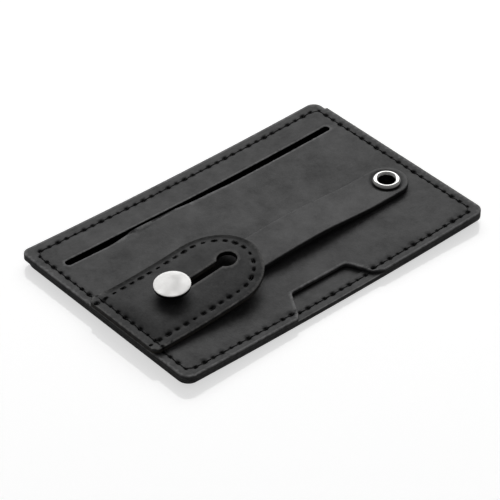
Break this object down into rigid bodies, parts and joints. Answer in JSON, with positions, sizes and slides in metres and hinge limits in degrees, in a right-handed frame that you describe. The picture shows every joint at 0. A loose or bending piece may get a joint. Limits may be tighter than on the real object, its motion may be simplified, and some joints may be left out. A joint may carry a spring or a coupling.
{
  "type": "phone card holder",
  "caption": "Flat stick-on card pocket for the back of a phone, with a thumb notch and a finger strap whose stud slides in a keyhole tab.",
  "frame": {"origin": "centre of the holder's outline, on the back face that it lies on", "axes": "+X along the holder from the tab's sewn end to the eyelet end, +Y from the thumb notch to the card slit, +Z out of the front"},
  "size_m": [0.098, 0.062, 0.009],
  "materials": {
    "leather": "matt black imitation leather with a fine grain",
    "lining_leather": "smooth black lining",
    "thread": "black sewing thread",
    "stud_steel": "finely brushed with polished rim",
    "nickel": "bright nickel plate",
    "foil": "plain foil",
    "foam_tape": "off-white foam adhesive",
    "liner": "coated release paper"
  },
  "bodies": {
    "holder": {"release_liner": "liner", "adhesive_pad": "foam_tape", "back_skin": "leather", "shield_foil": "foil", "pocket_lining": "lining_leather", "front_panel": "leather", "tab_upper": "leather", "tab_lining": "lining_leather", "edge_thread": "thread", "back_thread": "thread", "tab_thread": "thread", "eyelet": "nickel"},
    "strap": {"strap": "leather"},
    "stud": {"stud_button": "stud_steel", "stud_plate": "nickel"}
  },
  "joints": [
    {"name": "strap_bow", "type": "slide", "parent": "holder", "child": "strap", "axis": [0.4265, 0, 0.9045], "range_m": [0, 0.01981], "deforming": ["strap"]},
    {"name": "stud_slide", "type": "slide", "parent": "strap", "child": "stud", "axis": [0.4651, 0, -0.8852], "range_m": [0, 0.01817]}
  ],
  "couplings": [
    {"joint": "stud_slide", "follows": "strap_bow", "ratio": 0.91706}
  ]
}
